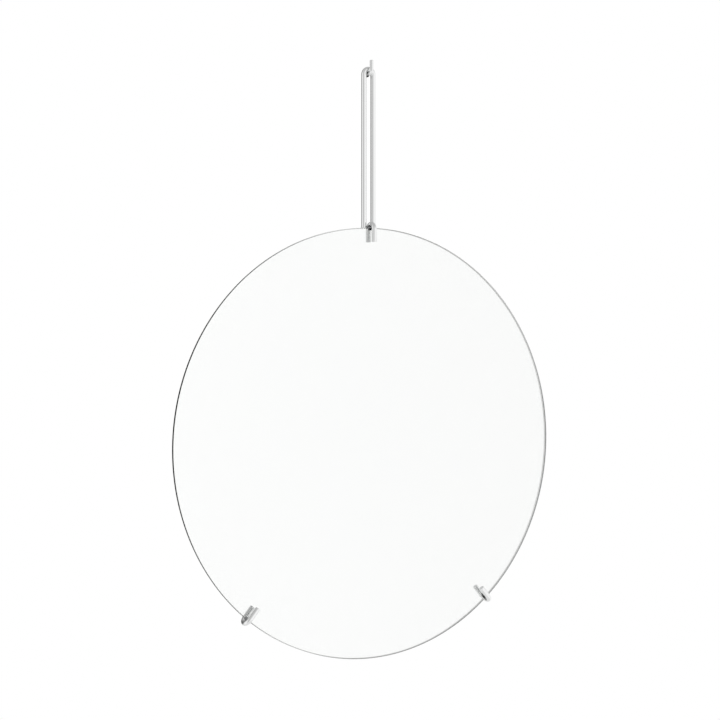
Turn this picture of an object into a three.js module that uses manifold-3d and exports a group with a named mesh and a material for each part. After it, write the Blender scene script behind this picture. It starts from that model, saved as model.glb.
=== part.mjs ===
// A frameless round wall mirror, held by chrome rods that hook over its rim, hanging from a wall hook.
//
// Millimetres, +Z up. The wall is the plane y = 0 and the mirror faces -Y.
// The origin is on the wall, on the axis of the wall hook's shank.

import * as THREE from 'three';
import { mergeVertices } from 'three/addons/utils/BufferGeometryUtils.js';
import Module from 'manifold-3d';

const wasm = await Module();
wasm.setup();

// ---------------------------------------------------------------- driving dimensions

const DISC_R = 250;             // mirror disc
const GLASS_T = 4;
const EDGE_BEVEL = 0.2;
const SILVER_T = 0.08;
const FILM_T = 0.2;
const COAT_INSET = 1;           // bare glass left at the rim, behind
const COAT_GAP = 0.04;

const ROD_R = 3;                // loop and hook rods
const LEG_GAP = 0.05;           // between a leg of the loop and its bend
const LOOP_PITCH = 12.2;        // between the loop's two legs
const LOOP_TOP = 437.4;         // top of the loop above the disc's centre
const WALL_TO_RODS = 12;        // wall to the plane of the rods behind the disc
const HOOK_DEPTH = 13.1;        // a hook's back leg to its front leg
const HOOK_REACH = 7.3;         // outside of a hook's bend beyond the rim
const HOOK_GRIP = 16.5;         // cut end of a hook's front leg, in from the rim
const FRONT_GAP = 1.2;          // front leg to glass, taken up by the rim pad
const LOWER_ANGLE = 40;         // lower hooks, in degrees from straight down
const LEGS_END = -6;            // end of the upright rods, from the disc's centre
const LOWER_START = 18;         // start of the lower rods, from the disc's centre

const WIRE_R = 2;               // wall hook
const WIRE_BEND = 4;
const TIP_AHEAD = 7.2;          // hook tip in front of the loop
const TIP_TOP = 14.8;           // hook tip above the shank
const SPACER_R = 3.6;
const SPACER_AHEAD = 3.5;       // front of the spacer behind the plane of the rods
const SPACER_LENGTH = 5.9;
const STUD_HOLE_R = 1.25;       // tapped end of the shank
const STUD_HOLE_DEPTH = 8;

const HUB_R = 40;
const FRONT_PLATE_R = 38;
const FRONT_PLATE_T = 1.2;
const BACK_PLATE_T = 2.5;
const STUD_R = 1.95;
const STUD_CIRCLE = 27;
const STUD_BEYOND = 0.8;        // end of a stud past its nut
const STUD_PLACES = [270, 30, 150];
const WASHER_R = 4.5;
const WASHER_T = 0.8;
const NUT_ACROSS_FLATS = 7;
const NUT_T = 3.2;
const PLATE_BEVEL = 0.5;
const SCREW_BEVEL = 0.4;

const CLAMP_UP = 22;            // thumb screw above the disc's centre
const BUSH_R = 3.5;
const BUSH_FLANGE_R = 5.5;
const BUSH_FLANGE_T = 0.8;
const CLAMP_PAD_T = 1;
const CLAMP_PAD_BEVEL = 0.2;
const THUMB_GAP = 0.35;         // thumb screw's knob to the bush
const THUMB_R = 8;
const THUMB_T = 3;
const THUMB_RIDGES = 30;
const THUMB_RIDGE_DEPTH = 0.35;
const SCREW_R = 1.95;

const BUMPER_ALONG = 190;       // wall bumpers, along the lower rods
const BUMPER_LENGTH = 12;
const BUMPER_HALF = 6;
const BUMPER_CORNER = 1;
const BUMPER_LIP = 1.8;         // a bumper's grip on its rod, past the rod's middle
const PAD_LENGTH = 4;           // soft pads in the hooks' bends
const PAD_LIP = 2.5;            // reach of a pad's lips in from the rim
const RUBBER_GAP = 0.12;        // soft pieces to the rods that they sit on

const SEAT_GAP = 0.05;          // between pieces that rest on each other
const PLATE_GAP = 0.1;          // hub plates to what they clamp
const CLEARANCE = 0.2;
const END_CLEARANCE = 0.3;      // rod ends to the ends of their channels
const OVERSHOOT = 1;            // of a cut past the piece it is made in
const SIDES = 24;

// ---------------------------------------------------------------- derived planes

const ROD_Y = -WALL_TO_RODS;
const FRONT_Y = ROD_Y - HOOK_DEPTH;
const BEND_R = HOOK_DEPTH / 2;
const BEND_RHO = DISC_R + HOOK_REACH - ROD_R - BEND_R;
const GLASS_FRONT = FRONT_Y + ROD_R + FRONT_GAP;
const GLASS_BACK = GLASS_FRONT + GLASS_T;
const SILVER_FRONT = GLASS_BACK + COAT_GAP;
const FILM_FRONT = SILVER_FRONT + SILVER_T + COAT_GAP;
const FRONT_PLATE_FRONT = FILM_FRONT + FILM_T + COAT_GAP;
const FRONT_PLATE_BACK = FRONT_PLATE_FRONT + FRONT_PLATE_T;
const BACK_PLATE_FRONT = ROD_Y + ROD_R + PLATE_GAP;
const BACK_PLATE_BACK = BACK_PLATE_FRONT + BACK_PLATE_T;
const WASHER_FRONT = BACK_PLATE_BACK + SEAT_GAP;
const NUT_FRONT = WASHER_FRONT + WASHER_T + SEAT_GAP;
const STUD_END = NUT_FRONT + NUT_T + STUD_BEYOND;

const LOOP_HALF = LOOP_PITCH / 2;
const LOOP_IN_R = LOOP_HALF - ROD_R;
const LOOP_CENTRE_Z = WIRE_R + SEAT_GAP - LOOP_IN_R;
const DISC_Z = LOOP_CENTRE_Z + LOOP_HALF + ROD_R - LOOP_TOP;
const TIP_Y = ROD_Y - TIP_AHEAD;

// ---------------------------------------------------------------- materials

const finish = (color, roughness, metalness) =>
  new THREE.MeshStandardMaterial({ color, roughness, metalness });

const CHROME = finish(0xd9dcdf, 0.08, 1);
const STEEL = finish(0xb4b6b8, 0.35, 1);
const BRASS = finish(0xb9975a, 0.35, 1);
const GLASS = finish(0xe6efec, 0.03, 0);
const SILVER = finish(0xf2f4f4, 0.03, 1);
const FILM = finish(0xc9ccce, 0.5, 0);
const NYLON = finish(0x1d1e20, 0.5, 0);
const RUBBER = finish(0x151617, 0.8, 0);
const VINYL = finish(0xb4b5b7, 0.5, 0);

// ---------------------------------------------------------------- shape helpers

// A path whose stations are given one by one, so that straight stretches need only their ends.
class StationPath extends THREE.Curve {
  constructor(stations) {
    super();
    this.stations = stations;
  }

  station(u) {
    return this.stations[Math.round(u * (this.stations.length - 1))];
  }

  getPointAt(u) {
    return this.station(u).point.clone();
  }

  getTangentAt(u) {
    return this.station(u).tangent.clone();
  }
}

const station = (point, tangent) => ({ point, tangent: tangent.clone().normalize() });

// Stations round an arc that turns from direction `from` to direction `to` about `centre`.
function arcStations(centre, radius, from, to, sweep, count) {
  const stations = [];
  for (let i = 0; i <= count; i += 1) {
    const angle = (sweep * i) / count;
    const out = from.clone().multiplyScalar(Math.cos(angle)).addScaledVector(to, Math.sin(angle));
    const along = from.clone().multiplyScalar(-Math.sin(angle)).addScaledVector(to, Math.cos(angle));
    stations.push(station(centre.clone().addScaledVector(out, radius), along));
  }
  return stations;
}

function rod(stations, radius) {
  const section = new THREE.Shape();
  section.absarc(0, 0, radius, 0, Math.PI * 2, false);
  return new THREE.ExtrudeGeometry(section, {
    steps: stations.length - 1,
    curveSegments: SIDES / 2,
    extrudePath: new StationPath(stations),
  });
}

// A solid of revolution about a line along Y. The profile is a list of [radius, y].
function turned(profile, segments = 48) {
  return new THREE.LatheGeometry(profile.map(([r, y]) => new THREE.Vector2(r, y)), segments);
}

const disc = (radius, low, high, bevel = 0, segments = 48) =>
  turned(bevel > 0
    ? [[0, low], [radius - bevel, low], [radius, low + bevel], [radius, high - bevel],
      [radius - bevel, high], [0, high]]
    : [[0, low], [radius, low], [radius, high], [0, high]], segments);

const ring = (inner, outer, low, high, segments = 48) =>
  turned([[inner, low], [outer, low], [outer, high], [inner, high], [inner, low]], segments);

// An outline in the X-Z plane, given thickness from y = low to y = high.
function plate(outline, low, high) {
  const geometry = new THREE.ExtrudeGeometry(outline, {
    depth: high - low,
    bevelEnabled: false,
    curveSegments: SIDES,
  });
  return geometry.rotateX(Math.PI / 2).translate(0, high, 0);
}

function solid(geometry) {
  const bare = geometry.clone();
  bare.deleteAttribute('normal');
  bare.deleteAttribute('uv');
  const merged = mergeVertices(bare, 1e-4);
  return new wasm.Manifold(new wasm.Mesh({
    numProp: 3,
    vertProperties: merged.attributes.position.array,
    triVerts: new Uint32Array(merged.index.array),
  }));
}

function geometryOf(manifold) {
  const mesh = manifold.getMesh();
  const geometry = new THREE.BufferGeometry();
  geometry.setAttribute('position', new THREE.BufferAttribute(mesh.vertProperties, 3));
  geometry.setIndex(new THREE.BufferAttribute(mesh.triVerts, 1));
  geometry.computeVertexNormals();
  return geometry;
}

// `body` joined with each of `add`, less each of `cut`.
function carve(body, { add = [], cut = [] }) {
  let result = solid(body);
  for (const piece of add) result = result.add(solid(piece));
  for (const piece of cut) result = result.subtract(solid(piece));
  return geometryOf(result);
}

// ---------------------------------------------------------------- scene graph

const mirror = new THREE.Group();
mirror.name = 'round_wall_mirror';

// Everything that hangs is drawn about the disc's centre.
const hanging = new THREE.Group();
hanging.position.z = DISC_Z;
mirror.add(hanging);

function place(parent, name, geometry, material) {
  const mesh = new THREE.Mesh(geometry, material);
  mesh.name = name;
  parent.add(mesh);
  return mesh;
}

// A group whose +Z runs outwards along the given angle, in degrees clockwise from straight up.
function radialGroup(degrees) {
  const group = new THREE.Group();
  group.rotation.y = THREE.MathUtils.degToRad(degrees);
  hanging.add(group);
  return group;
}

// ---------------------------------------------------------------- disc

place(hanging, 'mirror_glass', disc(DISC_R, GLASS_FRONT, GLASS_BACK, EDGE_BEVEL, 144), GLASS);
place(hanging, 'silver_layer',
  disc(DISC_R - COAT_INSET, SILVER_FRONT, SILVER_FRONT + SILVER_T, 0, 144), SILVER);
place(hanging, 'safety_film',
  disc(DISC_R - COAT_INSET, FILM_FRONT, FILM_FRONT + FILM_T, 0, 144), FILM);

// ---------------------------------------------------------------- rods

const UP = new THREE.Vector3(0, 0, 1);
const DOWN = new THREE.Vector3(0, 0, -1);
const LEFT = new THREE.Vector3(-1, 0, 0);
const TO_WALL = new THREE.Vector3(0, 1, 0);
const FORWARD = new THREE.Vector3(0, -1, 0);

const LOOP_CENTRE = LOOP_CENTRE_Z - DISC_Z;

function loopLeg(x) {
  return rod([
    station(new THREE.Vector3(x, ROD_Y, LEGS_END), UP),
    station(new THREE.Vector3(x, ROD_Y, LOOP_CENTRE - LEG_GAP), UP),
  ], ROD_R);
}

function loopBend() {
  const arc = arcStations(new THREE.Vector3(0, ROD_Y, LOOP_CENTRE), LOOP_HALF, LEFT, UP, Math.PI, 24);
  return rod(arc, ROD_R);
}

// A rod that runs outwards behind the disc, turns over the rim and grips its front.
function hookRod(start) {
  return rod([
    station(new THREE.Vector3(0, ROD_Y, start), UP),
    ...arcStations(new THREE.Vector3(0, ROD_Y - BEND_R, BEND_RHO), BEND_R, TO_WALL, UP, Math.PI, 20),
    station(new THREE.Vector3(0, FRONT_Y, DISC_R - HOOK_GRIP), DOWN),
  ], ROD_R);
}

// A soft pad that fills the inside of a hook's bend, grooved for the rim.
function edgePad() {
  const middle = ROD_Y - BEND_R;
  const half = BEND_R - ROD_R - RUBBER_GAP;
  const lip = DISC_R - PAD_LIP - BEND_RHO;
  const seat = DISC_R + SEAT_GAP - BEND_RHO;
  const grooveFront = GLASS_FRONT - SEAT_GAP - middle;
  const grooveBack = FILM_FRONT + FILM_T + SEAT_GAP - middle;
  const section = new THREE.Shape();
  section.moveTo(half, lip);
  section.lineTo(half, 0);
  section.absarc(0, 0, half, 0, Math.PI, false);
  section.lineTo(-half, lip);
  section.lineTo(grooveFront, lip);
  section.lineTo(grooveFront, seat);
  section.lineTo(grooveBack, seat);
  section.lineTo(grooveBack, lip);
  section.closePath();
  const pad = new THREE.ExtrudeGeometry(section, {
    depth: PAD_LENGTH,
    bevelEnabled: false,
    curveSegments: 14,
  });
  return pad.rotateX(Math.PI / 2).rotateZ(Math.PI / 2)
    .translate(-PAD_LENGTH / 2, middle, BEND_RHO);
}

place(hanging, 'loop_left_leg', loopLeg(-LOOP_HALF), CHROME);
place(hanging, 'loop_right_leg', loopLeg(LOOP_HALF), CHROME);
place(hanging, 'loop_bend', loopBend(), CHROME);
place(hanging, 'top_hook_rod', hookRod(LEGS_END), CHROME);
place(hanging, 'top_edge_pad', edgePad(), VINYL);

// ---------------------------------------------------------------- lower hooks and wall bumpers

// A rubber block that clips on a rod from behind and reaches the wall.
function wallBumper() {
  const grip = ROD_R + RUBBER_GAP;
  const lips = WALL_TO_RODS + BUMPER_LIP;
  const mouth = Math.asin(BUMPER_LIP / grip);
  const section = new THREE.Shape();
  section.moveTo(-BUMPER_HALF + BUMPER_CORNER, 0);
  section.lineTo(BUMPER_HALF - BUMPER_CORNER, 0);
  section.lineTo(BUMPER_HALF, BUMPER_CORNER);
  section.lineTo(BUMPER_HALF, lips);
  section.lineTo(grip * Math.cos(mouth), lips);
  section.absarc(0, WALL_TO_RODS, grip, mouth, Math.PI - mouth, true);
  section.lineTo(-BUMPER_HALF, lips);
  section.lineTo(-BUMPER_HALF, BUMPER_CORNER);
  section.closePath();
  const block = new THREE.ExtrudeGeometry(section, {
    depth: BUMPER_LENGTH,
    bevelEnabled: false,
    curveSegments: 20,
  });
  return block.rotateZ(Math.PI).translate(0, 0, BUMPER_ALONG);
}

for (const [side, degrees] of [['left', 180 + LOWER_ANGLE], ['right', 180 - LOWER_ANGLE]]) {
  const radial = radialGroup(degrees);
  place(radial, `${side}_hook_rod`, hookRod(LOWER_START), CHROME);
  place(radial, `${side}_edge_pad`, edgePad(), VINYL);
  place(radial, `${side}_wall_bumper`, wallBumper(), RUBBER);
}

// ---------------------------------------------------------------- hub behind the disc

const studPlaces = STUD_PLACES.map((degrees) => {
  const angle = THREE.MathUtils.degToRad(degrees);
  return [STUD_CIRCLE * Math.cos(angle), STUD_CIRCLE * Math.sin(angle)];
});

const CLAMP_AT = [0, CLAMP_UP];

const shifted = (geometry, [x, z]) => geometry.translate(x, 0, z);

const studHoles = (low, high) => studPlaces.map((at) =>
  shifted(disc(STUD_R + CLEARANCE, low - OVERSHOOT, high + OVERSHOOT, 0, SIDES), at));

// A channel for a rod that starts at `start`, or for several side by side, out past the hub's edge.
function channel(rodsHalfWidth, start, degrees) {
  const low = start - END_CLEARANCE;
  const length = HUB_R + OVERSHOOT - low;
  return new THREE.BoxGeometry(2 * (rodsHalfWidth + CLEARANCE), 4 * ROD_R, length)
    .translate(0, ROD_Y, low + length / 2)
    .rotateY(THREE.MathUtils.degToRad(degrees));
}

function hubSpacer() {
  const low = FRONT_PLATE_BACK + PLATE_GAP;
  const high = BACK_PLATE_FRONT - PLATE_GAP;
  const upright = channel(LOOP_HALF + ROD_R, LEGS_END, 0);
  const lower = [180 + LOWER_ANGLE, 180 - LOWER_ANGLE].map((degrees) =>
    channel(ROD_R, LOWER_START, degrees));
  return carve(disc(FRONT_PLATE_R, low, high, PLATE_BEVEL, 72), {
    cut: [upright, ...lower, ...studHoles(low, high)],
  });
}

function hubBackPlate() {
  const low = BACK_PLATE_FRONT;
  const high = BACK_PLATE_BACK;
  const bushHole = shifted(disc(BUSH_R + PLATE_GAP, low - OVERSHOOT, high + OVERSHOOT, 0, 32), CLAMP_AT);
  return carve(disc(HUB_R, low, high, PLATE_BEVEL, 96), { cut: [...studHoles(low, high), bushHole] });
}

function hexNut() {
  const corner = NUT_ACROSS_FLATS / Math.sqrt(3);
  const outline = new THREE.Shape();
  for (let i = 0; i < 6; i += 1) {
    const angle = (Math.PI / 3) * i;
    const point = [corner * Math.cos(angle), corner * Math.sin(angle)];
    if (i === 0) outline.moveTo(...point);
    else outline.lineTo(...point);
  }
  outline.closePath();
  const bore = new THREE.Path();
  bore.absarc(0, 0, STUD_R + PLATE_GAP, 0, Math.PI * 2, true);
  outline.holes.push(bore);
  return plate(outline, NUT_FRONT, NUT_FRONT + NUT_T);
}

place(hanging, 'hub_front_plate', disc(FRONT_PLATE_R, FRONT_PLATE_FRONT, FRONT_PLATE_BACK, 0, 72), STEEL);
place(hanging, 'hub_spacer', hubSpacer(), NYLON);
place(hanging, 'hub_back_plate', hubBackPlate(), STEEL);
studPlaces.forEach((at, i) => {
  const stud = disc(STUD_R, FRONT_PLATE_BACK + SEAT_GAP, STUD_END, SCREW_BEVEL, SIDES);
  place(hanging, `hub_stud_${i + 1}`, shifted(stud, at), STEEL);
  const washer = ring(STUD_R + CLEARANCE, WASHER_R, WASHER_FRONT, WASHER_FRONT + WASHER_T, 32);
  place(hanging, `hub_washer_${i + 1}`, shifted(washer, at), STEEL);
  place(hanging, `hub_nut_${i + 1}`, shifted(hexNut(), at), STEEL);
});

// ---------------------------------------------------------------- clamp for the top hook

const FLANGE_FRONT = BACK_PLATE_BACK + SEAT_GAP;
const FLANGE_BACK = FLANGE_FRONT + BUSH_FLANGE_T;
const CLAMP_PAD_FRONT = ROD_Y + ROD_R + SEAT_GAP;
const CLAMP_PAD_BACK = CLAMP_PAD_FRONT + CLAMP_PAD_T;
const THUMB_FRONT = FLANGE_BACK + THUMB_GAP;

function clampBush() {
  const bore = SCREW_R + CLEARANCE;
  const front = BACK_PLATE_FRONT + PLATE_GAP;
  return turned([
    [bore, front], [BUSH_R, front], [BUSH_R, FLANGE_FRONT], [BUSH_FLANGE_R, FLANGE_FRONT],
    [BUSH_FLANGE_R, FLANGE_BACK], [bore, FLANGE_BACK], [bore, front],
  ], 32);
}

// A flat knob with a ridged rim, on a plain screw shank.
function thumbScrew() {
  const outline = new THREE.Shape();
  const steps = THUMB_RIDGES * 4;
  for (let i = 0; i < steps; i += 1) {
    const angle = (2 * Math.PI * i) / steps;
    const radius = THUMB_R - (i % 4 < 2 ? 0 : THUMB_RIDGE_DEPTH);
    const point = [radius * Math.cos(angle), radius * Math.sin(angle)];
    if (i === 0) outline.moveTo(...point);
    else outline.lineTo(...point);
  }
  outline.closePath();
  const knob = plate(outline, THUMB_FRONT, THUMB_FRONT + THUMB_T);
  const shank = disc(SCREW_R, CLAMP_PAD_BACK + SEAT_GAP, THUMB_FRONT + THUMB_T / 2, SCREW_BEVEL, SIDES);
  return carve(knob, { add: [shank] });
}

const clampPad = disc(SCREW_R - SEAT_GAP, CLAMP_PAD_FRONT, CLAMP_PAD_BACK, CLAMP_PAD_BEVEL, SIDES);

place(hanging, 'clamp_bush', shifted(clampBush(), CLAMP_AT), BRASS);
place(hanging, 'clamp_pad', shifted(clampPad, CLAMP_AT), NYLON);
place(hanging, 'thumb_screw', shifted(thumbScrew(), CLAMP_AT), STEEL);

// ---------------------------------------------------------------- wall hook

// An upturned tip in front of the loop, an elbow and a shank that runs back to the wall.
function wallHook() {
  const centre = new THREE.Vector3(0, TIP_Y + WIRE_BEND, WIRE_BEND);
  const bar = rod([
    station(new THREE.Vector3(0, TIP_Y, TIP_TOP), DOWN),
    ...arcStations(centre, WIRE_BEND, FORWARD, DOWN, Math.PI / 2, 12),
    station(new THREE.Vector3(0, 0, 0), TO_WALL),
  ], WIRE_R);
  return carve(bar, { cut: [disc(STUD_HOLE_R, -STUD_HOLE_DEPTH, OVERSHOOT, 0, SIDES)] });
}

place(mirror, 'wall_hook', wallHook(), CHROME);
place(mirror, 'hook_spacer', ring(WIRE_R + CLEARANCE, SPACER_R, ROD_Y + SPACER_AHEAD,
  ROD_Y + SPACER_AHEAD + SPACER_LENGTH, 40), NYLON);

export default mirror;
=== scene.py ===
"""A frameless round wall mirror on polished chrome rods: its finished surfaces, in metres."""

import math

import bmesh
import bpy
from mathutils import Matrix, Vector


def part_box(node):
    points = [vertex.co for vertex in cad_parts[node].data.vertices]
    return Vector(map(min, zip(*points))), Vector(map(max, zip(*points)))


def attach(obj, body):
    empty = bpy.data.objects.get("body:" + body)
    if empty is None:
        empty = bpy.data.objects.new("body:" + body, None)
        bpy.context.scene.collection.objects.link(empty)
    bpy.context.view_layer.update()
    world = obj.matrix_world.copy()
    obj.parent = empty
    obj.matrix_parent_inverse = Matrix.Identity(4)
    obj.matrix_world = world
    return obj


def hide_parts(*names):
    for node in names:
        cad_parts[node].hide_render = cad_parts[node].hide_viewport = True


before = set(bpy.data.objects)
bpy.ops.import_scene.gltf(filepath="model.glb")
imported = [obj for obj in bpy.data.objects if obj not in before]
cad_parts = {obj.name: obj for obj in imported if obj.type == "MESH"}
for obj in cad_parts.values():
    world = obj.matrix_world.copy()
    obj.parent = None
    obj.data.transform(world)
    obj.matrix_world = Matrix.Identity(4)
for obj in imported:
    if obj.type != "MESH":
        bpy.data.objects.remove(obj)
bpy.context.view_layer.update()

MM = 0.001
X, Y, Z = Vector((1, 0, 0)), Vector((0, 1, 0)), Vector((0, 0, 1))


# ---------------------------------------------------------------- measures read from the frame

def middle(node):
    low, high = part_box(node)
    return (low + high) / 2


def span(node):
    low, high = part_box(node)
    return high - low


GLASS_LOW, GLASS_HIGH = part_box("mirror_glass")
DISC_R = (GLASS_HIGH.x - GLASS_LOW.x) / 2
DISC = Vector((0, 0, middle("mirror_glass").z))
GLASS_FRONT, GLASS_BACK = GLASS_LOW.y, GLASS_HIGH.y

LEG_LOW, LEG_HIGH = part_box("loop_right_leg")
ROD_R = (LEG_HIGH.y - LEG_LOW.y) / 2
ROD_Y = (LEG_HIGH.y + LEG_LOW.y) / 2
LOOP_HALF = LEG_HIGH.x - ROD_R
LOOP_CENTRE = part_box("loop_bend")[1].z - ROD_R - LOOP_HALF

TOP_LOW, TOP_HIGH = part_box("top_hook_rod")
FRONT_Y = TOP_LOW.y + ROD_R
BEND_R = (ROD_Y - FRONT_Y) / 2
BEND_RHO = TOP_HIGH.z - DISC.z - ROD_R - BEND_R
LEGS_END = LEG_LOW.z - DISC.z
GRIP_END = DISC_R - 16.5 * MM      # cut end of a hook's front leg
LOWER_START = 18 * MM              # start of the lower rods, from the disc's centre
LOWER_ANGLE = math.radians(40)     # lower hooks, from straight down
LOWER_LEFT = Vector((-math.sin(LOWER_ANGLE), 0, -math.cos(LOWER_ANGLE)))
LOWER_RIGHT = Vector((math.sin(LOWER_ANGLE), 0, -math.cos(LOWER_ANGLE)))

PAD_HALF = span("top_edge_pad").x / 2
PAD_LIP = 2.5 * MM                 # reach of a pad's lips in from the rim
BUMPER_START = 190 * MM            # wall bumpers, along the lower rods
BUMPER_LENGTH = 12 * MM
BUMPER_HALF = 6 * MM
BUMPER_LIP = 1.8 * MM              # a bumper's grip on its rod, past the rod's middle

WIRE_LOW, WIRE_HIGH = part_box("wall_hook")
WIRE_R = (WIRE_HIGH.x - WIRE_LOW.x) / 2
TIP_Y = WIRE_LOW.y + WIRE_R
WIRE_BEND = 4 * MM
SHANK = Vector((0, 0, 0))

STUD_R = span("hub_stud_1").x / 2
STUD_CIRCLE = 27 * MM
STUD_PLACES = (270, 30, 150)       # degrees round the hub
BUSH_R = 3.5 * MM
SCREW_R = STUD_R
KNOB_T = 3 * MM
NUT_HALF = 3.5 * MM                # half of a nut's width across its flats
THREAD_PITCH = 0.7 * MM

SEAT_GAP = 0.05 * MM               # between pieces that rest on each other
PLATE_GAP = 0.1 * MM               # hub plates to what they hold
RUBBER_GAP = 0.12 * MM             # soft pieces to the rods that they sit on
CLEARANCE = 0.2 * MM
END_CLEARANCE = 0.3 * MM           # rod ends to the ends of their channels


# ---------------------------------------------------------------- shader maths

class Number:
    """A socket that holds a number, for use in ordinary expressions."""

    def __init__(self, tree, socket):
        self.tree = tree
        self.socket = socket

    def _math(self, operation, *terms):
        node = self.tree.nodes.new("ShaderNodeMath")
        node.operation = operation
        for socket, term in zip(node.inputs, terms):
            if isinstance(term, Number):
                self.tree.links.new(term.socket, socket)
            else:
                socket.default_value = term
        return Number(self.tree, node.outputs[0])

    def __add__(self, other):
        return self._math("ADD", self, other)

    def __radd__(self, other):
        return self._math("ADD", other, self)

    def __sub__(self, other):
        return self._math("SUBTRACT", self, other)

    def __rsub__(self, other):
        return self._math("SUBTRACT", other, self)

    def __mul__(self, other):
        return self._math("MULTIPLY", self, other)

    def __rmul__(self, other):
        return self._math("MULTIPLY", other, self)

    def __truediv__(self, other):
        return self._math("DIVIDE", self, other)

    def fraction(self):
        return self._math("FRACT", self)

    def angle_from(self, other):
        return self._math("ARCTAN2", self, other)

    def clamped(self):
        return self._math("MINIMUM", self._math("MAXIMUM", self, 0.0), 1.0)


class Shader:
    """A node tree, with one way to add a node: its settings first, then what goes into its sockets."""

    def __init__(self, tree):
        self.tree = tree
        tree.nodes.clear()

    def node(self, kind, settings=None, stops=None, **inputs):
        node = self.tree.nodes.new("ShaderNode" + kind)
        for key, value in (settings or {}).items():
            setattr(node, key, value)
        if stops:
            ramp = node.color_ramp
            while len(ramp.elements) > 1:
                ramp.elements.remove(ramp.elements[-1])
            ramp.elements[0].position = stops[0][0]
            for position, _ in stops[1:]:
                ramp.elements.new(position)
            for element, (_, colour) in zip(ramp.elements, stops):
                element.color = (*colour, 1) if len(colour) == 3 else colour
        for key, value in inputs.items():
            numbered = key[1:].isdigit()
            socket = node.inputs[int(key[1:]) if numbered else key.replace("_", " ")]
            if isinstance(value, Number):
                value = value.socket
            if isinstance(value, bpy.types.NodeSocket):
                self.tree.links.new(value, socket)
            else:
                socket.default_value = value
        return node

    def number(self, node, output=0):
        return Number(self.tree, node.outputs[output])


def material(name, **surface):
    """A new material with a Principled surface. Returns it, its shader and its surface node."""
    made = bpy.data.materials.new(name)
    made.use_nodes = True
    shader = Shader(made.node_tree)
    principled = shader.node("BsdfPrincipled", **surface)
    shader.node("OutputMaterial", Surface=principled.outputs[0])
    return made, shader, principled


def place_on(shader):
    return shader.node("TexCoord").outputs["Object"]


def noise(shader, scale, detail, vector=None):
    """A soft noise from 0 to 1, as a number."""
    vector = vector or place_on(shader)
    return shader.number(shader.node("TexNoise", Vector=vector, Scale=scale, Detail=detail))


def bump(shader, principled, height, strength, distance):
    bumped = shader.node("Bump", Strength=strength, Distance=distance, Height=height)
    shader.tree.links.new(bumped.outputs[0], principled.inputs["Normal"])


def feed(shader, principled, **values):
    """Link what varies over the surface to the sockets it is named after."""
    for key, value in values.items():
        shader.tree.links.new(value.socket if isinstance(value, Number) else value,
                              principled.inputs[key.replace("_", " ")])


def two_tone(shader, first, second, factor):
    """The output of a mix of two colours."""
    mixed = shader.node("Mix", {"data_type": "RGBA"})
    mixed.inputs[6].default_value = (*first, 1)
    mixed.inputs[7].default_value = (*second, 1)
    shader.tree.links.new(factor.socket, mixed.inputs[0])
    return mixed.outputs[2]


# ---------------------------------------------------------------- finishes

def chrome_finish(name, tint):
    """Polished chrome plate: near-perfect gloss, with the faint ripple of a drawn and plated rod."""
    made, shader, principled = material(name, Metallic=1.0)
    wipe = noise(shader, 55, 4)
    grain = noise(shader, 900, 2)
    feed(shader, principled,
         Base_Color=two_tone(shader, tint, tuple(0.96 * c for c in tint), wipe),
         Roughness=0.03 + 0.035 * wipe * grain)
    bump(shader, principled, noise(shader, 160, 2), 0.04, 0.02 * MM)
    return made


def clear_glass():
    made, shader, principled = material(
        "clear_float_glass", Base_Color=(0.997, 0.999, 0.997, 1), IOR=1.5, Transmission_Weight=1.0)
    feed(shader, principled, Roughness=0.004 * noise(shader, 6, 2))
    return made


def polished_edge():
    """The ground and polished rim of the glass: darker and a little greener, with fine grinding marks."""
    made, shader, principled = material("polished_glass_edge", IOR=1.5, Transmission_Weight=1.0)
    grind = noise(shader, 1800, 2)
    feed(shader, principled,
         Base_Color=two_tone(shader, (0.70, 0.73, 0.70), (0.80, 0.83, 0.79), noise(shader, 30, 3)),
         Roughness=0.02 + 0.05 * grind)
    bump(shader, principled, grind, 0.05, 0.02 * MM)
    return made


def silvering():
    made, shader, principled = material("silvering", Metallic=1.0)
    feed(shader, principled,
         Base_Color=two_tone(shader, (0.932, 0.936, 0.936), (0.920, 0.925, 0.925), noise(shader, 4, 2)),
         Roughness=0.006 * noise(shader, 9, 2))
    return made


def backing_film():
    """Grey safety film over the paint behind the silver: matt, with faint rolling marks."""
    made, shader, principled = material("backing_film", Specular_IOR_Level=0.35)
    coords = shader.node("Mapping", Vector=place_on(shader), Scale=(3, 1, 90))
    streaks = noise(shader, 4, 4, vector=coords.outputs[0])
    cells = noise(shader, 700, 2)
    feed(shader, principled,
         Base_Color=two_tone(shader, (0.40, 0.42, 0.435), (0.50, 0.52, 0.53), streaks),
         Roughness=0.42 + 0.2 * cells)
    bump(shader, principled, cells + 0.6 * streaks, 0.18, 0.12 * MM)
    return made


def brushed_steel():
    made, shader, principled = material("brushed_steel", Metallic=1.0, Anisotropic=0.3)
    coords = shader.node("Mapping", Vector=place_on(shader), Scale=(1, 60, 60))
    scratches = noise(shader, 60, 4, vector=coords.outputs[0])
    feed(shader, principled,
         Base_Color=two_tone(shader, (0.50, 0.51, 0.52), (0.66, 0.67, 0.68), scratches),
         Roughness=0.22 + 0.2 * scratches)
    bump(shader, principled, scratches, 0.12, 0.04 * MM)
    return made


def zinc_plate():
    made, shader, principled = material("zinc_plate", Metallic=1.0)
    cloud = noise(shader, 240, 3)
    feed(shader, principled,
         Base_Color=two_tone(shader, (0.55, 0.57, 0.60), (0.70, 0.71, 0.72), cloud),
         Roughness=0.2 + 0.16 * cloud)
    bump(shader, principled, noise(shader, 1500, 2), 0.08, 0.03 * MM)
    return made


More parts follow.
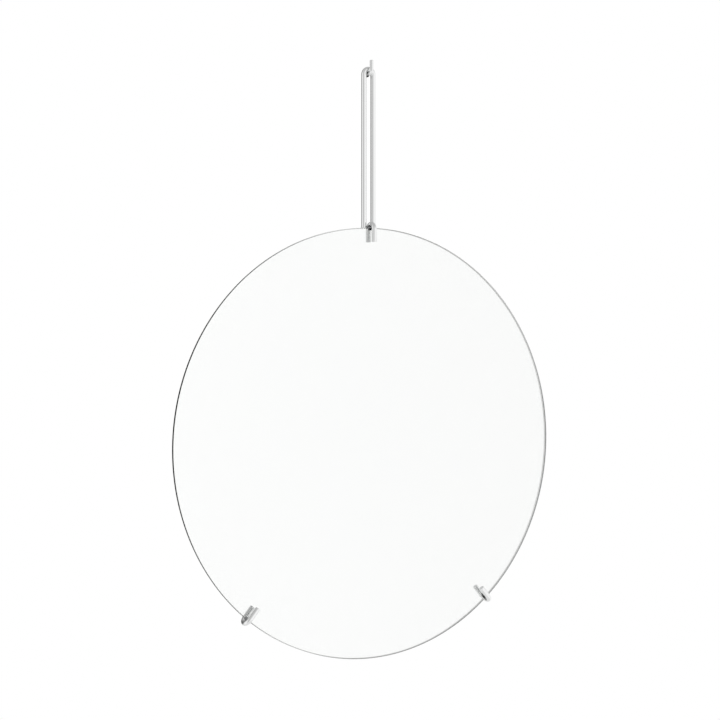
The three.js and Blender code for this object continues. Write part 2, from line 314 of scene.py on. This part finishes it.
def turned_brass():
    made, shader, principled = material("turned_brass", Metallic=1.0)
    cloud = noise(shader, 300, 3)
    feed(shader, principled,
         Base_Color=two_tone(shader, (0.60, 0.42, 0.16), (0.76, 0.57, 0.26), cloud),
         Roughness=0.2 + 0.18 * cloud)
    bump(shader, principled, noise(shader, 1600, 2), 0.08, 0.03 * MM)
    return made


def moulded_nylon():
    made, shader, principled = material("moulded_nylon", Specular_IOR_Level=0.4)
    grain = noise(shader, 1400, 3)
    feed(shader, principled,
         Base_Color=two_tone(shader, (0.012, 0.012, 0.014), (0.022, 0.022, 0.024), noise(shader, 60, 2)),
         Roughness=0.38 + 0.2 * grain)
    bump(shader, principled, grain, 0.2, 0.06 * MM)
    return made


def black_rubber():
    made, shader, principled = material("black_rubber", Specular_IOR_Level=0.3)
    bloom = noise(shader, 90, 3)
    grain = noise(shader, 2200, 2)
    feed(shader, principled,
         Base_Color=two_tone(shader, (0.010, 0.010, 0.011), (0.026, 0.026, 0.027), bloom),
         Roughness=0.6 + 0.25 * grain)
    bump(shader, principled, grain, 0.25, 0.08 * MM)
    return made


def soft_vinyl():
    made, shader, principled = material("soft_vinyl", Specular_IOR_Level=0.5)
    cloud = noise(shader, 120, 3)
    grain = noise(shader, 1800, 2)
    feed(shader, principled,
         Base_Color=two_tone(shader, (0.42, 0.425, 0.435), (0.50, 0.505, 0.515), cloud),
         Roughness=0.3 + 0.2 * grain)
    bump(shader, principled, grain, 0.15, 0.06 * MM)
    return made


CHROME = chrome_finish("polished_chrome", (0.86, 0.865, 0.865))
HOOK_CHROME = chrome_finish("hook_chrome", (0.81, 0.815, 0.815))
GLASS = clear_glass()
EDGE = polished_edge()
SILVER = silvering()
FILM = backing_film()
STEEL = brushed_steel()
ZINC = zinc_plate()
BRASS = turned_brass()
NYLON = moulded_nylon()
RUBBER = black_rubber()
VINYL = soft_vinyl()


# ---------------------------------------------------------------- mesh helpers

def piece(name, build, finish, sharp=30):
    """A mesh object made by build(bm), smooth but for edges sharper than `sharp` degrees."""
    bm = bmesh.new()
    build(bm)
    bmesh.ops.remove_doubles(bm, verts=bm.verts, dist=1e-7)
    bmesh.ops.recalc_face_normals(bm, faces=bm.faces)
    mesh = bpy.data.meshes.new(name)
    bm.to_mesh(mesh)
    bm.free()
    mesh.shade_smooth()
    mesh.set_sharp_from_angle(angle=math.radians(sharp))
    made = bpy.data.objects.new(name, mesh)
    bpy.context.scene.collection.objects.link(made)
    for one in finish if isinstance(finish, list) else [finish]:
        mesh.materials.append(one)
    return made


def turns(count):
    """The angles of equal steps once round."""
    return [2 * math.pi * k / count for k in range(count)]


def circle(at, radius, y, count):
    return [(at.x + radius * math.cos(a), y, at.z + radius * math.sin(a)) for a in turns(count)]


def ring_of(bm, points):
    return [bm.verts.new(p) for p in points]


def skin(bm, first, second):
    count = len(first)
    for i in range(count):
        j = (i + 1) % count
        bm.faces.new((first[i], first[j], second[j], second[i]))


def on_axis(radius):
    return radius < 1e-6


def round_corners(profile, radius, steps=4):
    """A closed profile of (radius, y) with each corner rounded, but for those on the axis."""
    rounded = []
    count = len(profile)
    for i, here in enumerate(profile):
        point = Vector(here)
        to_last = Vector(profile[i - 1]) - point
        to_next = Vector(profile[(i + 1) % count]) - point
        reach = min(radius, 0.45 * to_last.length, 0.45 * to_next.length)
        if on_axis(point.x) or reach < 1e-7:
            rounded.append(tuple(point))
            continue
        start = point + to_last.normalized() * reach
        end = point + to_next.normalized() * reach
        for k in range(steps + 1):
            t = k / steps
            rounded.append(tuple((1 - t) ** 2 * start + 2 * t * (1 - t) * point + t * t * end))
    return rounded


def turned(name, profile, finish, at=DISC, segments=96, rounding=0.0, sharp=30):
    """A turned piece about a line along Y through `at`. The profile is closed, as (radius, y)."""
    outline = round_corners(profile, rounding) if rounding else profile

    def build(bm):
        rings = []
        for r, y in outline:
            points = [(at.x, y, at.z)] if on_axis(r) else circle(at, r, y, segments)
            rings.append(ring_of(bm, points))
        for here, there in zip(rings, rings[1:] + rings[:1]):
            poles = [ring for ring in (here, there) if len(ring) == 1]
            if not poles:
                skin(bm, here, there)
            elif len(poles) == 1:
                pole, edge = poles[0][0], max(here, there, key=len)
                for i in range(segments):
                    bm.faces.new((pole, edge[i], edge[(i + 1) % segments]))

    return piece(name, build, finish, sharp)


def disc_profile(radius, low, high):
    return [(0, low), (radius, low), (radius, high), (0, high)]


def ring_profile(inner, outer, low, high):
    return [(inner, low), (outer, low), (outer, high), (inner, high)]


def plain_disc(name, node, finish, at, segments, rounding):
    """A flat disc as wide and as thick as its node, with rounded edges."""
    low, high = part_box(node)
    return turned(name, disc_profile(high.x - at.x, low.y, high.y), finish, at, segments, rounding)


def arc(centre, radius, first, second, sweep, steps):
    """Points and directions round an arc that starts along `first` from the centre and turns to `second`."""
    stations = []
    for k in range(steps + 1):
        a = sweep * k / steps
        out = first * math.cos(a) + second * math.sin(a)
        along = second * math.cos(a) - first * math.sin(a)
        stations.append((centre + out * radius, along))
    return stations


def swept_rod(name, stations, plane, radius, finish, rounds=(0.35 * MM, 0.35 * MM), sides=48):
    """A round rod through the stations, which lie in one plane, with a small round at each cut end."""

    def section(point, along, r):
        across = plane.cross(along).normalized()
        return [point + (across * math.cos(a) + plane * math.sin(a)) * r for a in turns(sides)]

    def rounded_end(point, inwards, along, size, steps=5):
        sections = []
        for k in range(steps + 1):
            a = math.pi / 2 * k / steps
            sections.append(section(point + inwards * size * (1 - math.cos(a)), along,
                                    radius - size + size * math.sin(a)))
        return sections

    def build(bm):
        start, along = stations[0]
        end, out = stations[-1]
        rings = rounded_end(start, along, along, rounds[0])
        rings += [section(p, d, radius) for p, d in stations[1:-1]]
        rings += reversed(rounded_end(end, -out, out, rounds[1]))
        made = [ring_of(bm, r) for r in rings]
        for here, there in zip(made, made[1:]):
            skin(bm, here, there)
        bm.faces.new(made[0])
        bm.faces.new(made[-1])

    return piece(name, build, finish, 40)


def prism(name, first, second, finish):
    """A solid between two flat outlines of as many points each."""

    def build(bm):
        rings = [ring_of(bm, first), ring_of(bm, second)]
        skin(bm, *rings)
        for ring in rings:
            bm.faces.new(ring)

    return piece(name, build, finish)


def apply_modifiers(made):
    with bpy.context.temp_override(object=made, active_object=made, selected_objects=[made]):
        for modifier in list(made.modifiers):
            bpy.ops.object.modifier_apply(modifier=modifier.name)


def soften(made, width, segments=3):
    """Round the edges where faces meet at more than 50 degrees."""
    bevel = made.modifiers.new("soften", "BEVEL")
    bevel.width = width
    bevel.segments = segments
    bevel.limit_method = "ANGLE"
    bevel.angle_limit = math.radians(50)
    apply_modifiers(made)
    smooth_again(made)


def smooth_again(made, sharp=30):
    made.data.shade_smooth()
    made.data.set_sharp_from_angle(angle=math.radians(sharp))


def cutter_rod(at, radius, low, high, sides=64):
    return turned("cutter", disc_profile(radius, low, high), [], at=at, segments=sides)


def drill(at, radius, low, high):
    """A cutter for a hole through a plate, run 1 mm past both faces."""
    return cutter_rod(at, radius, low - MM, high + MM)


def cutter_box(centre, size, turn):
    def build(bm):
        bmesh.ops.create_cube(bm, size=1)
        bmesh.ops.scale(bm, vec=size, verts=bm.verts)
        bmesh.ops.rotate(bm, verts=bm.verts, matrix=Matrix.Rotation(turn, 3, "Y"))
        bmesh.ops.translate(bm, vec=centre, verts=bm.verts)

    return piece("cutter", build, [])


def trim(made, tool, operation):
    boolean = made.modifiers.new("trim", "BOOLEAN")
    boolean.operation = operation
    boolean.solver = "EXACT"
    boolean.object = tool
    apply_modifiers(made)
    bpy.data.objects.remove(tool)


def cut(made, *cutters):
    for cutter in cutters:
        trim(made, cutter, "DIFFERENCE")


def stands_for(made, body, slot, *nodes):
    """Finish a piece: flats shaded flat up to their rounds, then onto its body in place of the nodes."""
    weighted = made.modifiers.new("flat_faces", "WEIGHTED_NORMAL")
    weighted.keep_sharp = True
    apply_modifiers(made)
    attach(made, body)
    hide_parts(*nodes)


# ---------------------------------------------------------------- disc

def mirror_disc():
    """The glass, with its bevelled and polished rim, and the two layers behind it."""
    bevel, soft = 0.2 * MM, 0.06 * MM
    profile = round_corners([
        (0, GLASS_FRONT), (DISC_R - bevel, GLASS_FRONT), (DISC_R, GLASS_FRONT + bevel),
        (DISC_R, GLASS_BACK - bevel), (DISC_R - bevel, GLASS_BACK), (0, GLASS_BACK),
    ], soft, 3)
    glass = turned("glass_disc", profile, [GLASS, EDGE], segments=512, sharp=60)
    for face in glass.data.polygons:
        reach = math.hypot(face.center.x - DISC.x, face.center.z - DISC.z)
        face.material_index = int(reach > DISC_R - bevel - soft)
    stands_for(glass, "hanger", "glass", "mirror_glass")

    for name, node, finish, slot in (("silver_coat", "silver_layer", SILVER, "silvering"),
                                     ("backing_film", "safety_film", FILM, "film")):
        sheet = plain_disc(name, node, finish, DISC, 384, 0.03 * MM)
        stands_for(sheet, "hanger", slot, node)


# ---------------------------------------------------------------- rods

def hanger_loop():
    """The whole loop as one bent rod."""
    start = Vector((-LOOP_HALF, ROD_Y, LEG_LOW.z))
    end = Vector((LOOP_HALF, ROD_Y, LEG_LOW.z))
    bend = arc(Vector((0, ROD_Y, LOOP_CENTRE)), LOOP_HALF, -X, Z, math.pi, 48)
    loop = swept_rod("rod_loop", [(start, Z), *bend, (end, -Z)], Y, ROD_R, CHROME)
    stands_for(loop, "hanger", "chrome_rod", "loop_left_leg", "loop_right_leg", "loop_bend")


def hook_rod(name, node, body, outwards, start):
    """A rod that runs out behind the disc, turns over the rim and ends flat on the front."""
    first = DISC + outwards * start + Y * ROD_Y
    last = DISC + outwards * GRIP_END + Y * FRONT_Y
    centre = DISC + outwards * BEND_RHO + Y * (ROD_Y - BEND_R)
    bend = arc(centre, BEND_R, Y, outwards, math.pi, 40)
    plane = Y.cross(outwards)
    rod = swept_rod(name, [(first, outwards), *bend, (last, -outwards)], plane, ROD_R, CHROME)
    stands_for(rod, body, "chrome_rod", node)


def edge_pad(name, node, body, outwards):
    """A soft pad that fills the inside of a hook's bend, with rounded lips either side of the rim."""
    across = Y.cross(outwards)
    centre = DISC + outwards * BEND_RHO + Y * (ROD_Y - BEND_R)
    half = BEND_R - ROD_R - RUBBER_GAP
    lip = DISC_R - PAD_LIP - BEND_RHO
    seat = DISC_R + SEAT_GAP - BEND_RHO
    groove_front = GLASS_FRONT - SEAT_GAP - centre.y
    groove_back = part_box("safety_film")[1].y + SEAT_GAP - centre.y
    corner, mouth = 0.4 * MM, 0.3 * MM
    steps = 24
    bend = [math.pi * k / steps for k in range(steps + 1)]
    outline = [(half, lip + corner)]
    outline += [(half * math.cos(a), half * math.sin(a)) for a in bend]
    outline += [(-half, lip + corner), (-half + corner, lip), (groove_front - mouth, lip),
                (groove_front, lip + mouth), (groove_front, seat), (groove_back, seat),
                (groove_back, lip + mouth), (groove_back + mouth, lip), (half - corner, lip)]
    left, right = ([centre + Y * y + outwards * r + across * side for y, r in outline]
                   for side in (-PAD_HALF, PAD_HALF))
    pad = prism(name, left, right, VINYL)
    soften(pad, 0.2 * MM)
    stands_for(pad, body, "vinyl", node)


def wall_hook():
    """The wire hook: an upturned tip, an elbow and a shank that is drilled for its wall stud."""
    tip = Vector((0, TIP_Y, WIRE_HIGH.z))
    bend = arc(Vector((0, TIP_Y + WIRE_BEND, WIRE_BEND)), WIRE_BEND, -Y, -Z, math.pi / 2, 24)
    wire = swept_rod("hook_wire", [(tip, -Z), *bend, (Vector((0, WIRE_HIGH.y, 0)), Y)], X, WIRE_R,
                     HOOK_CHROME, rounds=(0.6 * MM, 0.25 * MM), sides=40)
    stud_hole_r, stud_hole_depth = 1.25 * MM, 8 * MM
    cut(wire, cutter_rod(SHANK, stud_hole_r, -stud_hole_depth, MM, sides=40))
    stands_for(wire, "wall_hook", "chrome_hook", "wall_hook")


def hook_collar():
    """The loose spacer on the hook's shank, with two grooves round it."""
    low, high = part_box("hook_spacer")
    groove = 0.3 * MM
    inner = WIRE_R + CLEARANCE
    outer, length = high.x, high.y - low.y
    profile = [(inner, low.y), (outer, low.y)]
    for k in (1, 2):
        y = low.y + length * k / 3
        profile += [(outer, y - groove), (outer - groove, y - groove / 2),
                    (outer - groove, y + groove / 2), (outer, y + groove)]
    profile += [(outer, high.y), (inner, high.y)]
    collar = turned("hook_collar", profile, NYLON, at=SHANK, segments=64, rounding=0.3 * MM)
    stands_for(collar, "spacer", "nylon", "hook_spacer")


def grip_side(side, first=2.4 * MM, pitch=1.8 * MM, width=MM, depth=0.4 * MM, slope=0.35 * MM):
    """The points of four grip grooves down one side of a bumper, from the wall forwards."""
    points = []
    for k in range(4):
        y = -first - k * pitch
        points += [(side * BUMPER_HALF, y), (side * (BUMPER_HALF - depth), y - slope),
                   (side * (BUMPER_HALF - depth), y - width + slope), (side * BUMPER_HALF, y - width)]
    return points


def wall_bumper(name, node, outwards):
    """A rubber block that clips on a rod from behind, with grip grooves down its sides."""
    across = Y.cross(outwards)
    grip = ROD_R + RUBBER_GAP
    mouth = math.asin(BUMPER_LIP / grip)
    front = ROD_Y - BUMPER_LIP
    corner = MM
    steps = 32
    bore = [-mouth + (math.pi + 2 * mouth) * k / steps for k in range(1, steps)]
    near, far = grip_side(1), grip_side(-1)
    outline = [(-BUMPER_HALF + corner, 0), (BUMPER_HALF - corner, 0), (BUMPER_HALF, -corner), *near]
    outline += [(BUMPER_HALF, front), (grip * math.cos(mouth), front)]
    outline += [(grip * math.cos(a), ROD_Y + grip * math.sin(a)) for a in bore]
    outline += [(-grip * math.cos(mouth), front), (-BUMPER_HALF, front), *reversed(far)]
    outline += [(-BUMPER_HALF, -corner)]
    low, high = ([DISC + outwards * rho + across * u + Y * y for u, y in outline]
                 for rho in (BUMPER_START, BUMPER_START + BUMPER_LENGTH))
    block = prism(name, low, high, RUBBER)
    soften(block, 0.3 * MM, 2)
    stands_for(block, "hanger", "rubber", node)


# ---------------------------------------------------------------- hub

def round_hub(degrees):
    angle = math.radians(degrees)
    return DISC + STUD_CIRCLE * (X * math.cos(angle) + Z * math.sin(angle))


STUDS = [round_hub(degrees) for degrees in STUD_PLACES]
STUD_HOLE_R = STUD_R + CLEARANCE
CLAMP = Vector((0, 0, middle("thumb_screw").z))


def thread(root, crest, low, high, pitch):
    """The zigzag side of a screw thread, from low to high, as profile points."""
    points = []
    count = int((high - low) / pitch)
    for k in range(count):
        y = low + k * pitch
        points += [(root, y), (crest, y + 0.45 * pitch), (crest, y + 0.6 * pitch)]
    return points + [(root, low + count * pitch), (root, high)]


def stud(number, at):
    """A threaded stud with a chamfered end, and the small weld fillet at its foot."""
    node = f"hub_stud_{number}"
    low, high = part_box(node)
    root, end = 1.65 * MM, 1.25 * MM
    fillet, plain, chamfer = 0.3 * MM, 0.5 * MM, 0.6 * MM
    profile = [(0, low.y), (STUD_R, low.y), (root, low.y + fillet)]
    profile += thread(root, STUD_R, low.y + plain, high.y - chamfer, THREAD_PITCH)
    profile += [(end, high.y), (0, high.y)]
    made = turned(f"weld_stud_{number}", profile, ZINC, at=at, segments=48, sharp=50)
    stands_for(made, "hanger", "steel", node)


def front_disc():
    front = plain_disc("hub_front_disc", "hub_front_plate", STEEL, DISC, 128, 0.2 * MM)
    stands_for(front, "hanger", "steel", "hub_front_plate")


def channel_block():
    """The moulded block between the plates, with a channel for each rod and a hole for each stud."""
    low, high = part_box("hub_spacer")
    block = turned("hub_channel_block", disc_profile(high.x, low.y, high.y), NYLON, segments=128)
    reach, depth = 60 * MM, 12 * MM
    middle_of_block = Vector((0, (low.y + high.y) / 2, DISC.z))
    for outwards, start, half in ((Z, LEGS_END, LOOP_HALF + ROD_R), (LOWER_LEFT, LOWER_START, ROD_R),
                                  (LOWER_RIGHT, LOWER_START, ROD_R)):
        centre = middle_of_block + outwards * (start - END_CLEARANCE + reach / 2)
        size = Vector((2 * (half + CLEARANCE), depth, reach))
        cut(block, cutter_box(centre, size, math.atan2(outwards.x, outwards.z)))
    cut(block, *(drill(at, STUD_HOLE_R, low.y, high.y) for at in STUDS))
    soften(block, 0.3 * MM)
    stands_for(block, "hanger", "nylon", "hub_spacer")


def back_disc():
    """The clamping plate, turned with two shallow grooves near its rim."""
    low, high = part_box("hub_back_plate")
    depth, slope, width = 0.25 * MM, 0.35 * MM, 1.25 * MM
    rim = high.x
    profile = [(0, low.y), (rim, low.y), (rim, high.y)]
    for r in (rim - 3.5 * MM, rim - 6 * MM):
        profile += [(r, high.y), (r - slope, high.y - depth), (r - width + slope, high.y - depth),
                    (r - width, high.y)]
    profile += [(0, high.y)]
    back = turned("hub_back_disc", profile, STEEL, segments=160, rounding=0.22 * MM)
    cut(back, *(drill(at, STUD_HOLE_R, low.y, high.y) for at in STUDS),
        drill(CLAMP, BUSH_R + PLATE_GAP, low.y, high.y))
    smooth_again(back)
    stands_for(back, "hanger", "steel", "hub_back_plate")


def washer(number, at):
    node = f"hub_washer_{number}"
    low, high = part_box(node)
    profile = ring_profile(STUD_HOLE_R, (high.x - low.x) / 2, low.y, high.y)
    made = turned(f"washer_{number}", profile, ZINC, at=at, segments=64, rounding=0.12 * MM)
    stands_for(made, "hanger", "steel", node)


def hex_nut(number, at):
    """A hexagon nut with chamfered corners on both faces and a threaded bore."""
    node = f"hub_nut_{number}"
    low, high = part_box(node)
    corner = NUT_HALF / math.cos(math.pi / 6)
    nut = prism(f"nut_{number}", circle(at, corner, low.y, 6), circle(at, corner, high.y, 6), ZINC)
    cone, beyond = 0.55 * MM, 0.02 * MM
    kept = [(0, low.y), (NUT_HALF, low.y), (corner + beyond, low.y + cone), (corner + beyond, high.y - cone),
            (NUT_HALF, high.y), (0, high.y)]
    trim(nut, turned("cutter", kept, [], at=at, segments=96), "INTERSECT")
    bore_r, mouth_r, mouth = 2.05 * MM, 2.3 * MM, 0.25 * MM
    bore = [(0, low.y - MM), (mouth_r, low.y - MM), (mouth_r, low.y), (bore_r, low.y + mouth),
            (bore_r, high.y - mouth), (mouth_r, high.y), (mouth_r, high.y + MM), (0, high.y + MM)]
    cut(nut, turned("cutter", bore, [], at=at, segments=48))
    smooth_again(nut, 25)
    stands_for(nut, "hanger", "steel", node)


def hub():
    front_disc()
    channel_block()
    back_disc()
    for number, at in enumerate(STUDS, 1):
        stud(number, at)
        washer(number, at)
        hex_nut(number, at)


# ---------------------------------------------------------------- clamp for the top hook

def threaded_bush():
    low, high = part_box("clamp_bush")
    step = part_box("hub_back_plate")[1].y + SEAT_GAP
    bore, flange = STUD_HOLE_R, high.x
    profile = [(bore, low.y), (BUSH_R, low.y), (BUSH_R, step), (flange, step), (flange, high.y),
               (bore, high.y)]
    bush = turned("threaded_bush", profile, BRASS, at=CLAMP, segments=72, rounding=0.15 * MM)
    stands_for(bush, "hanger", "brass", "clamp_bush")


def clamp_tip():
    tip = plain_disc("clamp_tip", "clamp_pad", NYLON, CLAMP, 40, 0.2 * MM)
    stands_for(tip, "clamp_tip", "nylon", "clamp_pad")


def thumb_screw():
    """A knob with a wavy grip and a dished back, on a screw shank."""
    low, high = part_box("thumb_screw")
    knob_front = high.y - KNOB_T
    radius = high.x
    ridges, ridge_depth = 36, 0.4 * MM
    steps = ridges * 8
    rows = 10
    edge_round = 0.45 * MM

    def grip_ring(share):
        """The ring of the knob's grip at this share of its thickness."""
        y = knob_front + KNOB_T * share
        crown = radius - edge_round * abs(2 * share - 1) ** 6
        waves = ((a, crown - ridge_depth * (0.5 + 0.5 * math.cos(ridges * a)) ** 2) for a in turns(steps))
        return [(CLAMP.x + r * math.cos(a), y, CLAMP.z + r * math.sin(a)) for a, r in waves]

    def build(bm):
        grip = [ring_of(bm, grip_ring(j / rows)) for j in range(rows + 1)]
        for here, there in zip(grip, grip[1:]):
            skin(bm, here, there)
        dish = 0.3 * MM
        back = [(radius - 1.6 * MM, high.y), (radius - 2 * MM, high.y - dish)]
        front = [(3.2 * MM, knob_front), (SCREW_R, knob_front - 0.15 * MM), (SCREW_R, low.y + 0.4 * MM),
                 (1.5 * MM, low.y)]
        for last, profile in ((grip[-1], back), (grip[0], front)):
            for r, y in profile:
                ring = ring_of(bm, circle(CLAMP, r, y, steps))
                skin(bm, last, ring)
                last = ring
            bm.faces.new(last)

    knob = piece("clamp_knob", build, ZINC, 35)
    stands_for(knob, "clamp_knob", "steel", "thumb_screw")


mirror_disc()
hanger_loop()
hook_rod("top_hook", "top_hook_rod", "top_hook", Z, LEGS_END)
hook_rod("lower_left_hook", "left_hook_rod", "hanger", LOWER_LEFT, LOWER_START)
hook_rod("lower_right_hook", "right_hook_rod", "hanger", LOWER_RIGHT, LOWER_START)
edge_pad("top_pad", "top_edge_pad", "top_hook", Z)
edge_pad("lower_left_pad", "left_edge_pad", "hanger", LOWER_LEFT)
edge_pad("lower_right_pad", "right_edge_pad", "hanger", LOWER_RIGHT)
wall_bumper("left_bumper", "left_wall_bumper", LOWER_LEFT)
wall_bumper("right_bumper", "right_wall_bumper", LOWER_RIGHT)
hub()
threaded_bush()
clamp_tip()
thumb_screw()
wall_hook()
hook_collar()


# ---------------------------------------------------------------- studio

# How bright the tent's walls are, by their bearing from the mirror: degrees anticlockwise from the camera's.
TENT_WALLS = (
    (-180, 0.42), (-160, 0.12), (-110, 0.12), (-92, 0.60), (-80, 0.90), (-58, 0.92), (-40, 0.76), (-26, 0.45),
    (-12, 0.45), (0, 0.66), (25, 0.80), (45, 0.97), (66, 0.93), (130, 0.92), (165, 0.80), (180, 0.42),
)
TENT_ROOF = 0.5
TENT_BELOW = 1.0
TENT_STRENGTH = 1.12


def studio():
    """A light tent seen by reflections, white to the camera."""
    world = bpy.data.worlds.new("light_tent")
    bpy.context.scene.world = world
    world.use_nodes = True
    shader = Shader(world.node_tree)
    direction = shader.node("SeparateXYZ", Vector=shader.node("TexCoord").outputs["Generated"])
    x, y, z = (shader.number(direction, k) for k in range(3))
    towards_camera = math.radians(-120)
    share = ((y.angle_from(x) - towards_camera) / (2 * math.pi) + 0.5).fraction()
    stops = [(degrees / 360 + 0.5, (level, level, level)) for degrees, level in TENT_WALLS]
    walls = shader.node("ValToRGB", stops=stops, Fac=share)
    wall_level = shader.number(shader.node("SeparateColor", Color=walls.outputs[0]))
    blend, start = 1.6, 0.35
    above = (z * blend - start).clamped()
    below = (z * -blend - start).clamped()
    level = wall_level * (1 - above) * (1 - below) + above * TENT_ROOF + below * TENT_BELOW
    tent = shader.node("Background", Strength=TENT_STRENGTH * level)
    tent.inputs[0].default_value = (1.0, 0.998, 0.996, 1)
    white = shader.node("Background", Strength=1.0)
    white.inputs[0].default_value = (1, 1, 1, 1)
    seen = shader.node("LightPath").outputs["Is Camera Ray"]
    both = shader.node("MixShader", _0=seen, _1=tent.outputs[0], _2=white.outputs[0])
    shader.node("OutputWorld", Surface=both.outputs[0])


def floor():
    """A pale round floor, well below the mirror, lit a little from within as a light table is."""
    made, shader, principled = material("pale_floor", Emission_Color=(1, 1, 1, 1), Emission_Strength=0.3)
    feed(shader, principled,
         Base_Color=two_tone(shader, (0.91, 0.91, 0.905), (0.94, 0.94, 0.935), noise(shader, 3, 3)),
         Roughness=0.5 + 0.2 * noise(shader, 40, 2))
    below_mirror = 0.5
    radius = 0.8

    def build(bm):
        bmesh.ops.create_circle(bm, cap_ends=True, segments=128, radius=radius)
        bmesh.ops.translate(bm, vec=(0, 0, GLASS_LOW.z - below_mirror), verts=bm.verts)

    ground = piece("studio_floor", build, made)


def camera():
    """At eye level and to the left, a little above the disc's centre."""
    data = bpy.data.cameras.new("camera")
    data.sensor_width = 36
    data.lens = 81.01
    data.clip_end = 50
    made = bpy.data.objects.new("camera", data)
    bpy.context.scene.collection.objects.link(made)
    from_disc = Vector((-0.9512, -1.6210, 0.1246))
    dip, turn = math.radians(0.845), math.radians(29.968)
    made.location = Vector((0, GLASS_FRONT, DISC.z)) + from_disc
    made.rotation_euler = (math.pi / 2 - dip, 0, -turn)
    bpy.context.scene.camera = made


studio()
floor()
camera()
bpy.context.scene.view_settings.view_transform = "Standard"
